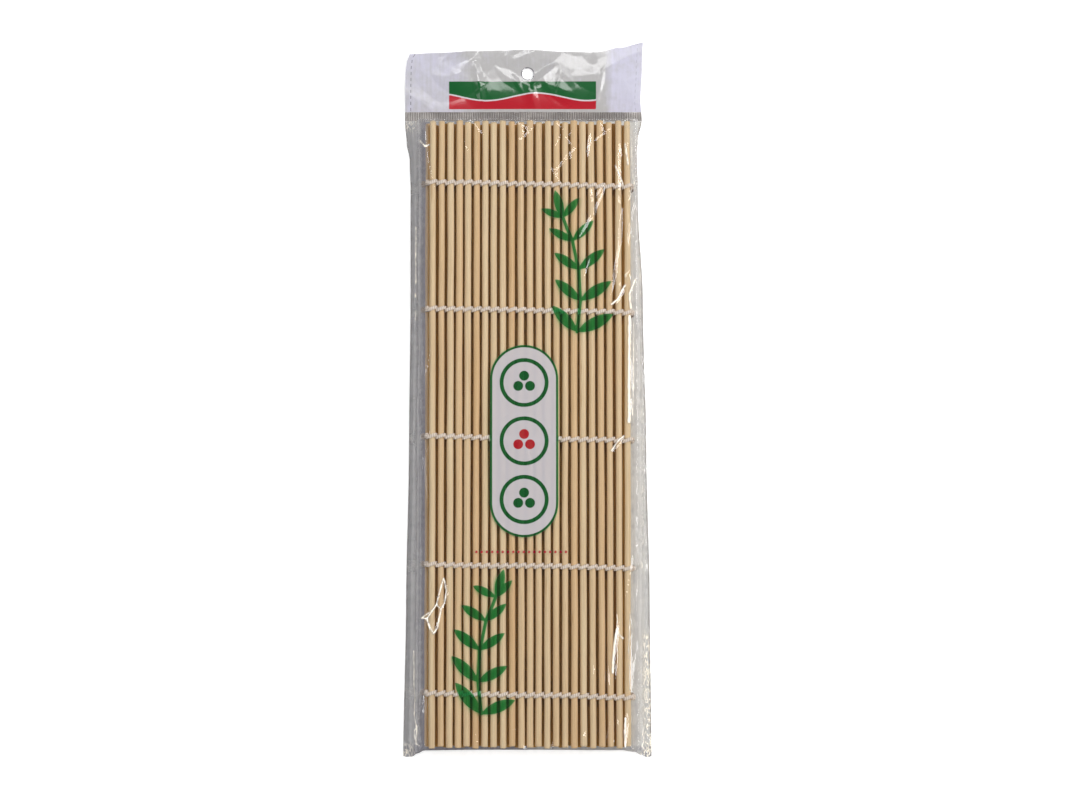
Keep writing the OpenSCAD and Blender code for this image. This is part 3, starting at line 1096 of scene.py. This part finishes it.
def add_sheet(name, node, material, points, numbers, centres, keep=None):
    """Cuts a sheet into strips named by their place, and fixes the two end pieces to the outer columns.
    """
    rows, cols = points.shape[:2]
    normals = grid_normals(points, closed=False)
    if normals[rows // 2, cols // 2, 2] < 0:
        normals = -normals
    cuts = [0, *centres, cols - 1]
    for k, (a, b) in enumerate(zip(cuts[:-1], cuts[1:])):
        part = (slice(None), slice(a, b + 1))
        kept = None if keep is None else keep[:, a:b]
        if kept is not None and not kept.any():
            continue
        faces = grid_faces(rows, b - a + 1, keep=kept)
        flat = {key: v[part].reshape(-1, *v.shape[2:]) for key, v in numbers.items()}
        here, facing = points[part].reshape(-1, 3), normals[part].reshape(-1, 3)
        piece = make_piece(f"{name}_{k:02d}", here, faces, facing, flat, material)
        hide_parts(node)
        if k == 0:
            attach(piece, body_names[0])
        elif k == columns:
            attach(piece, body_names[-1])
        else:
            bend_between(piece, k - 1, column_xs[k - 1])
    print(name, "grid", rows, "by", cols)


# %% [markdown]
# ## Front film
# The front film lies on the strings, dips between the rows and falls steeply round the mat to
# a flat margin. It wrinkles most where it is pulled in: along the right side, above the bottom
# corners and just under the seal.
# %% Where the front film lies
ROOF_STEP = 0.5
ROOF_PAST_LOW, ROOF_PAST_HIGH = 0.45, 0.4
END_CELLS = 18
NEAR_END_CELLS = 10
SAG = 0.5
ROW_HALF = 1.5
SAG_REACH = 20
TALLEST = 0.3

bottom_s = np.linspace(1, 0, END_CELLS + 1)[:-1]
roof_low, roof_high = slat_low - ROOF_PAST_LOW, slat_high + ROOF_PAST_HIGH
roof_ys = np.linspace(roof_low, roof_high, int((roof_high - roof_low) / ROOF_STEP) + 1)
top_s = np.linspace(0, 1, NEAR_END_CELLS + 1)[1:]
below_roof, above_roof = np.full(END_CELLS, roof_low), np.full(NEAR_END_CELLS, roof_high)
line_y = np.concatenate([below_roof, roof_ys, above_roof])
end_s = np.concatenate([-bottom_s, roof_ys * 0, top_s])


def edge_x(x, s, y):
    """Where a line across lies at a height y: fixed over the mat, drawn in at the sides."""
    across = wall_profile(np.abs(s))[0]
    left = left_shoulder - across * (along_curve(LEFT_EDGE, y) + left_shoulder)
    right = right_shoulder + across * (along_curve(RIGHT_EDGE, y) - right_shoulder)
    return np.where(s < 0, left, np.where(s > 0, right, x))


def film_places():
    """X and Y of the front film's grid, and how much of the roof's height each point has."""
    x_line, y_line = np.meshgrid(line_x, line_y)
    s_line, e_line = np.meshgrid(line_s, end_s)
    across, up = wall_profile(np.abs(e_line))
    x = edge_x(x_line, s_line, y_line)
    low_edge = -along_curve(BOTTOM_EDGE, x)
    y = np.where(e_line < 0, roof_low + across * (low_edge - roof_low), y_line)
    y = np.where(e_line > 0, roof_high + across * (seal_low - roof_high), y)
    side_up = wall_profile(np.abs(s_line))[1]
    return x, y, side_up * up


def roof_height(y):
    """Height of the film over the mat: up over the string rows, a little lower between."""
    nearest = np.min([np.abs(y - row) for row in row_ys], axis=0)
    return ROOF - SAG * past(nearest, ROW_HALF, SAG_REACH)


film_x, film_y, film_up = film_places()
print("front film from", film_x.min().round(2), film_y.min().round(2))

# %% [markdown]
# The largest creases of the bag are listed one by one. A fold is a ridge broad enough for the grid to
# carry, and its flank turns a lamp's light upwards. A whitened crease is only a line, stored as
# the distance to it and drawn as a painted glint. The rest of the crumpling is a few fields of random
# creases.
# %% Folds: each is its two ends and its half width
FOLDS = (
    # left margin: one long upright glint, and the forked ones near the corner
    ((-43.6, 66), (-43.5, 20), 0.5), ((-43.4, 19), (-43.4, 9), 0.45),
    ((-44.4, -95), (-42.6, -119), 0.5), ((-43.6, -108), (-40.8, -122), 0.45),
    # a dent on the lower left of the mat
    ((-31.6, -68.5), (-30.4, -77), 1.0), ((-30.4, -75), (-33.4, -84), 1.0),
    ((-33.2, -82), (-36.4, -91.5), 1.1), ((-32.4, -69.5), (-35.0, -81), 0.95),
    ((-34.6, -79), (-39.6, -86), 1.0), ((-39.6, -84), (-36.6, -91), 1.1),
    # upper right of the mat
    ((29.6, 80.5), (18.6, 59.5), 2.0), ((36.2, 74), (31.2, 36), 1.9),
    ((39.4, 48), (32.4, 33), 1.8), ((38.8, 97), (36.2, 86), 1.3),
    ((9, 87), (12, 81), 1.2), ((11, 104.5), (14.5, 100), 1.0),
    # beside and over the last slat
    ((38.9, 46), (40.4, 29), 1.8), ((39.0, 30), (38.7, -12), 1.8),
    ((36.4, -16.5), (31.4, -22.5), 1.1),
    # lower right of the mat
    ((33.6, -82), (32.4, -111), 1.7), ((38.9, -80), (38.5, -114), 1.2),
    ((37.2, -120), (36.6, -135), 1.3),
)


# %% Painted glints on whitened creases: each is half its width and the points of its path
CREASE_GLINTS = (
    # left margin
    (0.2, ((-43.4, 66), (-43.3, 43.5))), (0.2, ((-43.4, 40), (-43.4, 38.5))),
    (0.16, ((-43.3, 33), (-43.4, 29.5))), (0.3, ((-41.5, 98), (-39.5, 95.5), (-37.8, 96.2))),
    (0.22, ((-43.4, -110), (-42.9, -117), (-43.3, -122), (-41.6, -126), (-42.9, -128),
            (-42.1, -132.5), (-41, -133))),
    (0.22, ((-42.4, -124), (-41.7, -127), (-42, -131.5))),
    (0.18, ((-43.7, -98), (-43.5, -103), (-43.4, -110))),
    (0.14, ((-46.9, -135.6), (-45.9, -136.2), (-46.6, -137), (-45.2, -137.2))),
    # the dent on the lower left of the mat
    (0.26, ((-31.8, -69.9), (-30.7, -74.4), (-31.4, -79), (-32.8, -81.7), (-34.5, -79.8),
            (-33.3, -74.8), (-31.8, -69.9))),
    (0.32, ((-32.8, -81.7), (-34.1, -88.5), (-35.6, -90.8), (-37.2, -88.1), (-38.1, -85.1),
            (-34.5, -79.8))),
    (0.22, ((-38.1, -85.1), (-40.2, -84.9), (-37.2, -82.8))),
    # right side of the mat, from its middle to its head
    (0.5, ((39, 30), (38.8, 8), (38.7, -10.5))), (0.2, ((40.6, 27), (40.5, 4), (40, -8))),
    (0.42, ((41.2, 44), (39, 38.5), (39.6, 33))), (0.3, ((37.4, 42), (34.6, 36.5), (32, 34.5))),
    (0.3, ((36.8, -15.8), (34.6, -17.6), (32, -21.5))), (0.3, ((37.5, 96.5), (38.6, 88.5))),
    (0.3, ((33.7, 88), (36.6, 81))), (0.16, ((39.8, 100), (40.2, 86), (41.4, 78))),
    # right side near the foot
    (0.45, ((34.2, -88.8), (33.5, -91.5), (32.9, -96), (32.5, -100.6), (32.3, -105.5))),
    (0.3, ((34, -90.5), (36.2, -92.6))), (0.14, ((38.9, -83.5), (38.4, -96), (38.8, -112))),
    (0.4, ((37.1, -122.5), (36.8, -127), (37, -133.4))),
    (0.22, ((43.4, -63.6), (44.3, -65.2), (43.6, -67.2))),
    (0.22, ((43.8, -106.2), (44.6, -107.6), (45.9, -107), (45, -109), (44.4, -110.6))),
    (0.24, ((43.9, -126.4), (43.4, -129), (44.1, -131), (42.9, -133.2), (43.9, -134.6))),
    (0.22, ((46.4, -134.6), (45.6, -135.6), (46.6, -136.4))),
)


def crease_glint_distance(x, y):
    """Distance to the nearest painted glint line of a whitened crease, in millimetres."""
    nearest = np.full_like(x, FAR)
    for radius, points in CREASE_GLINTS:
        for (ax, ay), (bx, by) in zip(points[:-1], points[1:]):
            nearest = np.minimum(nearest, pill(x, y, ax, ay, bx, by, radius))
    return nearest


def squiggle_glint_strength(x, y):
    """Where the margins get painted squiggly glints of small creases, from 0 to 1."""
    band = before(y, 6, 12) * past(y, -74, 10) + 0.3 + 0.4 * past(y, 24, 12)
    right = past(x, 40.6, 0.8) * np.clip(band, 0, 1) * around(x, 43.2, 1.7)
    low_right = past(x, 41.5, 0.8) * before(y, -86, 8)
    corner = before(y, -132, 3) * past(np.abs(x), 42, 2) * 0.8
    under_seal = past(y, 101, 4) * past(np.abs(x), 30, 10) * 0.7
    return np.clip(np.max([right, low_right, corner, under_seal], axis=0), 0, 1)


print("folds:", len(FOLDS), "whitened creases:", len(CREASE_GLINTS))


# %% Random crumpling: seed, count, area, angle, reach, width and height of each field
CREASE_FIELDS = (
    (11, 9, (22, 40, 46, 104), (90, 8), (8, 26), (0.8, 2.2), (0.08, 0.3)),
    (16, 4, (12, 40, 40, 100), (70, 14), (6, 14), (0.8, 2.0), (0.08, 0.26)),
    (18, 5, (24, 40, -134, -98), (88, 10), (6, 18), (0.8, 2.0), (0.08, 0.26)),
    (12, 22, (-46, -37, -136, 104), (90, 6), (10, 40), (0.5, 1.2), (0.08, 0.26)),
    (17, 26, (40, 47, -136, 104), (90, 7), (8, 40), (0.5, 1.4), (0.08, 0.3)),
    (13, 9, (-34, 20, -134, 104), (84, 26), (6, 18), (0.6, 1.8), (0.05, 0.16)),
    (14, 18, (-44, 44, 98, 107), (85, 30), (3, 8), (0.5, 1.4), (0.08, 0.26)),
    (15, 30, (-46, 46, -139, -126), (60, 50), (3, 10), (0.4, 1.0), (0.06, 0.24)),
)


def margin_wrinkles(x, y):
    """Small sharp wrinkles in the flat margins, strongest along a band beside the mat."""
    right = past(x, 40.4, 0.8)
    band = before(y, 24, 20) * past(y, -72, 14) + 0.45
    near = 0.35 + 0.65 * around(x, 43.0, 1.3)
    height = 0.22 * (1 + facets(x, y, 19, (0.8, 1.9), 0.5)) * right * band * near
    left = before(x, -40.6, 1.0)
    height += 0.1 * (1 + facets(x, y, 23, (1.1, 2.6), 0.5)) * left
    corner = before(y, -128, 5) * past(np.abs(x), 40, 2)
    return height + 0.16 * (1 + facets(x, y, 24, (1.0, 1.2), 0.6)) * corner


def front_crumple(x, y, up):
    """Displacement of the front film along its normal."""
    calm = before(y, 26, 14) * past(y, -84, 14)
    right = past(x, 14, 24) * (1 - 0.9 * calm * before(x, 42, 3))
    left = before(x, -38, 4)
    near_seal = past(y, 80, 22)
    near_foot = before(y, -105, 24)
    busy = np.clip(0.12 + 0.75 * right + 0.5 * left + 0.7 * near_seal + 0.6 * near_foot, 0, 1.1)
    height = 0.2 * facets(x, y, 3, (5.0, 24)) * busy
    height += 0.10 * facets(x, y, 5, (3.0, 9)) * busy
    for field in CREASE_FIELDS:
        height += creases(x, y, *field)
    height *= 0.35 + 0.65 * np.clip(up * 4, 0, 1)
    height += sum(fold(x, y, *place) for place in FOLDS)
    return height + margin_wrinkles(x, y)


# %% Front film
LEAST_HAZE = 0.008
DEEPEST = 0.03
x, y, up = film_x, film_y, film_up
z = LOW_Z + (roof_height(y) - LOW_Z) * up
sheet = np.stack([x, y, z], axis=-1)
outward = grid_normals(sheet, closed=False)
outward *= np.sign(outward[len(sheet) // 2, sheet.shape[1] // 2, 2])
crumple = front_crumple(x, y, up)
sheet += outward * crumple[..., None]
sheet[..., 2] = np.clip(sheet[..., 2], LOW_Z - DEEPEST, ROOF + TALLEST)
left_slat, right_slat = column_xs[0] - drawn_r, column_xs[-1] + drawn_r
near_row = np.max([around(y, row, 1.6) for row in row_ys], axis=0)
left_wall = before(x, left_slat - 0.1, 1.2) * (1 - 0.8 * near_row)
right_wall = past(x - right_slat, 0.2, 1.5) * (1 - 0.8 * near_row)
bent = np.clip(np.abs(crumple) - 0.16, 0, 0.4)
haze = LEAST_HAZE + 0.42 * left_wall + 0.24 * right_wall + 0.15 * bent
# painted shade: the film's left wall beside the mat is tinted darker, as in the mat's shadow
tint = np.clip(left_wall - before(x, left_slat - 4.2, 1.5), 0, 1)
numbers = {"haze": haze, "tint": tint, "rest": sheet.copy()}
numbers["crease_glint"] = crease_glint_distance(x, y)
numbers["squiggle_glint"] = squiggle_glint_strength(x, y) * (1 - 0.55 * smooth(up * 3))
numbers.update({key: np.clip(value, -FAR, FAR) for key, value in front_print(x, y).items()})
centres = centre_lines(first_centre, CELLS)
add_sheet("film_front", "front_film", clear_film, sheet, numbers, centres)

# %% [markdown]
# ## Back film
# The back of the bag lies flat on the surface. Past the mat it is the layer that greys the
# margins; under the mat it is almost as clear as the front. Its stored places are shifted
# upwards, so that its streaks and clouds aren't the same as those of the front.
# %% Back film
BACK_Z = 0.07
BACK_TOP = 0.19
BACK_SHIFT = [0, 0, 40.0]
BACK_CREASES = (22, 60, (-47, 47, -138, 106), (88, 30), (5, 30), (0.6, 1.6), (0.02, 0.06))
MARGIN_HAZE, CLEARED_HAZE = 0.92, 0.8
back = np.stack([x, y, np.full_like(x, BACK_Z)], axis=-1)
ripple = 0.05 * facets(x, y, 21, (7, 18)) + creases(x, y, *BACK_CREASES)
back[..., 2] = np.clip(BACK_Z + ripple, 0.0, BACK_TOP)
inside = np.min([x - left_slat, right_slat - x, y - slat_low, slat_high - y], axis=0)
under_mat = past(inside, -0.3, 1.5)
# Painted light and shade: a painted shadow of the mat beside it on the left, the left margin darker and
# the right lighter as if lit from the right, and painted shade below the slat ends.
painted_mat_shadow = smooth(1 - np.abs(left_slat - 1.5 - x) / 4.0)
painted_light_and_shade = np.where(x < 0, 0.54, 0.04) + 0.45 * before(y, slat_low + 1, 2)
numbers = {"haze": MARGIN_HAZE - CLEARED_HAZE * under_mat, "tint": painted_light_and_shade + 0.5 * painted_mat_shadow}
numbers["rest"] = back + BACK_SHIFT
add_sheet("film_back", "back_film", back_film, back, numbers, centres)

# %% [markdown]
# ## Ribbed seal
# A hot ribbed bar closes the bag above the slats. Its marks are fine upright ribs, so this
# strip has its own much finer grid, five ribs to a slat pitch, on the same column lines. It
# buckles together with the header above it, so one function gives the height of both.
# %% Ribbed seal
RIBS = 5
RIB_CELLS = 8
RIB_HEIGHT = 0.09
LEAST_LIFT, SEAL_LIFT = 0.25, 0.35
SEAL_HAZE = 0.93


def flat_lines(cells):
    """Lines across the flat film: their x, their share of the way out to a side edge (0 over
    the mat, below 0 on the left), and the number of the line on the first column's centre."""
    left = np.linspace(1, 0, 4 * cells)[:-1]
    inner = np.linspace(column_xs[0], column_xs[-1], cells * (columns - 1) + 1)
    xs = np.concatenate([left * 0 + column_xs[0], inner, left * 0 + column_xs[-1]])
    return xs, np.concatenate([-left, inner * 0, left[::-1]]), len(left)


def flat_x(x, s, y):
    """Where such a line lies at a height y: fixed over the mat, a share s of the way out."""
    left = x - np.abs(s) * (along_curve(LEFT_EDGE, y) + x)
    right = x + np.abs(s) * (along_curve(RIGHT_EDGE, y) - x)
    return np.where(s < 0, left, np.where(s > 0, right, x))


HEADER_FOLDS = (
    ((-20.6, 131), (-17.6, 114.5), 2.6), ((12.0, 130), (1.2, 120.5), 3.0),
    ((13.2, 127.5), (10.2, 117.5), 1.0), ((29.8, 129), (26.6, 113.5), 1.6),
    ((-41.5, 115.5), (-35.5, 109.5), 1.6), ((-6, 126), (-1.5, 118), 1.4),
)
HEADER_CREASES = (34, 12, (-30, 28, 110, 138), (70, 50), (4, 12), (1.4, 3.4), (0.1, 0.34))


def header_buckle(x, y):
    """How far the sealed film stands up from the surface."""
    free = past(y - seal_high, -3, 12)
    broad = 0.95 * (facets(x, y, 31, (11, 10), 0.5) + 0.6)
    fine = 0.22 * facets(x, y, 33, (5.5, 5), 0.4)
    inner = before(np.abs(x + 2.5), 38, 6)
    sharp = creases(x, y, *HEADER_CREASES) * inner
    sharp += sum(fold(x, y, *place) for place in HEADER_FOLDS)
    return LEAST_LIFT + np.maximum(0, SEAL_LIFT + free * (broad + fine * inner + sharp))


xs, shares, first = flat_lines(RIBS * RIB_CELLS)
ys = np.linspace(seal_low, seal_high, 13)
x_line, y = np.meshgrid(xs, ys)
s_line = np.meshgrid(shares, ys)[0]
x = flat_x(x_line, s_line, y)
wave = np.cos(2 * np.pi * (x - column_xs[0]) * RIBS / pitch)
rim = np.clip(np.minimum(y - seal_low, seal_high - y) / 0.4, 0, 1)
base = header_buckle(x, y)
band = np.stack([x, y, base + RIB_HEIGHT * wave * rim], axis=-1)
patches = facets(x, y, 35, (6, 3))
outer = past(np.abs(x), 36, 5)
seal_tint = 0.95 - 0.5 * wave * rim + 0.35 * patches - 0.55 * outer
numbers = {"haze": np.full_like(x, SEAL_HAZE), "tint": seal_tint, "rest": band.copy()}
lines = centre_lines(first, RIBS * RIB_CELLS)
add_sheet("seal", "ribbed_seal", sealed_film, band, numbers, lines)

# %% [markdown]
# ## Header
# Above the seal the two films lie together. This part has been handled most, so it is crumpled
# into facets, and its top edge waves. The hang hole is cut out of the grid, and the nearest
# points are moved onto its circle. Near both side edges runs a row of short tear cuts.
# %% Header
HEADER_ROWS = 68
HOLE_R = 2.2
HOLE_EDGE = 0.34
TOP_EDGE = ((-47.8, 132.2), (-46.2, 133.9), (-38, 134.4), (-22, 135.1), (0, 135.6), (13, 134.9),
            (27, 134.6), (36, 136.4), (45.5, 138.5), (47.8, 138.5))
hole = frame["record"]["mounts"][0]
hole_x, hole_y = (value / MM for value in hole["pos_m"][:2])


def side_zones(x, left):
    """1 near both sides of the header, where it is smoother and more matt, 0 in its middle."""
    return np.maximum(before(x, left, 7), past(x, 29, 5))


xs, shares, first = flat_lines(CELLS)
x_line, rise = np.meshgrid(xs, np.linspace(0, 1, HEADER_ROWS + 1))
s_line = np.meshgrid(shares, rise[:, 0])[0]
y = seal_high + rise * (along_curve(TOP_EDGE, x_line) - seal_high)
x = flat_x(x_line, s_line, y)
y = seal_high + rise * (along_curve(TOP_EDGE, x) - seal_high)
away = np.hypot(x - hole_x, y - hole_y)
snap = np.abs(away - HOLE_R) < HOLE_EDGE
x = np.where(snap, hole_x + (x - hole_x) * HOLE_R / away, x)
y = np.where(snap, hole_y + (y - hole_y) * HOLE_R / away, y)
middle_x = (x[:-1, :-1] + x[1:, 1:]) / 2
middle_y = (y[:-1, :-1] + y[1:, 1:]) / 2
keep = np.hypot(middle_x - hole_x, middle_y - hole_y) > HOLE_R
edge_gap = np.minimum(along_curve(LEFT_EDGE, y) + x, along_curve(RIGHT_EDGE, y) - x)
z = header_buckle(x, y)
header_sheet = np.stack([x, y, z], axis=-1)
side_zone = side_zones(x, -21)
facet_tone = facets(x, y, 31, (13, 11), 0.5)
haze = 0.88 + 0.06 * side_zone + 0.05 * facet_tone
tint = 1 - side_zone * np.where(x < 0, 0.55, 1.0) + 0.2 * facet_tone
to_hole = np.hypot(x - hole_x, y - hole_y) - HOLE_R
numbers = {"haze": haze, "tint": tint, "gap": edge_gap, "hole": to_hole, "rest": header_sheet.copy()}
numbers["matt"] = 0.7 * side_zones(x, -24)
numbers["cut"] = np.where(x < 0, 0.8, 0.25)
numbers.update({key: np.clip(value, -FAR, FAR) for key, value in header_print(x, y).items()})
lines = centre_lines(first, CELLS)
add_sheet("header", "header", header_film, header_sheet, numbers, lines, keep)

# %% [markdown]
# ## Side welds
# The bag's sides were cut and sealed by a hot wire, which leaves a thin uneven bead along each
# edge. Each bead is a small tube that follows the edge and thickens and thins at random.
# %% Side welds
BEAD_SIDES = 8
BEAD_STEP = 0.8
BEAD_INSET = 0.3
BEAD_WIDE, BEAD_TALL = 0.26, 0.17
LUMP_STEP = 2.2


def add_bead(name, node, body, edge, side, seed):
    """One bead along an edge of the bag; side is -1 on the left and 1 on the right."""
    rng = np.random.default_rng(seed)
    ys = np.arange(foot_y + 0.3, seal_low + 0.01, BEAD_STEP)
    xs = side * (along_curve(edge, ys) - BEAD_INSET)
    lump_ys = np.arange(foot_y, seal_low + 3, LUMP_STEP)
    lumps = np.interp(ys, lump_ys, rng.uniform(0.7, 1.15, len(lump_ys)))
    turn = np.linspace(0, 2 * np.pi, BEAD_SIDES, endpoint=False)
    points = np.empty((len(ys), BEAD_SIDES, 3))
    points[:, :, 0] = xs[:, None] + BEAD_WIDE * lumps[:, None] * np.cos(turn)
    points[:, :, 1] = ys[:, None]
    points[:, :, 2] = LOW_Z + BEAD_TALL * lumps[:, None] * np.sin(turn)
    flat = points.reshape(-1, 3)
    numbers = {"haze": np.full(len(flat), 0.4), "tint": np.zeros(len(flat)), "rest": flat}
    faces = grid_faces(len(ys), BEAD_SIDES, closed=True)
    piece = make_piece(name, flat, faces, None, numbers, sealed_film)
    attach(piece, body)
    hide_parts(node)


add_bead("weld_left", "side_weld_left", body_names[0], LEFT_EDGE, -1, 41)
add_bead("weld_right", "side_weld_right", body_names[-1], RIGHT_EDGE, 1, 42)
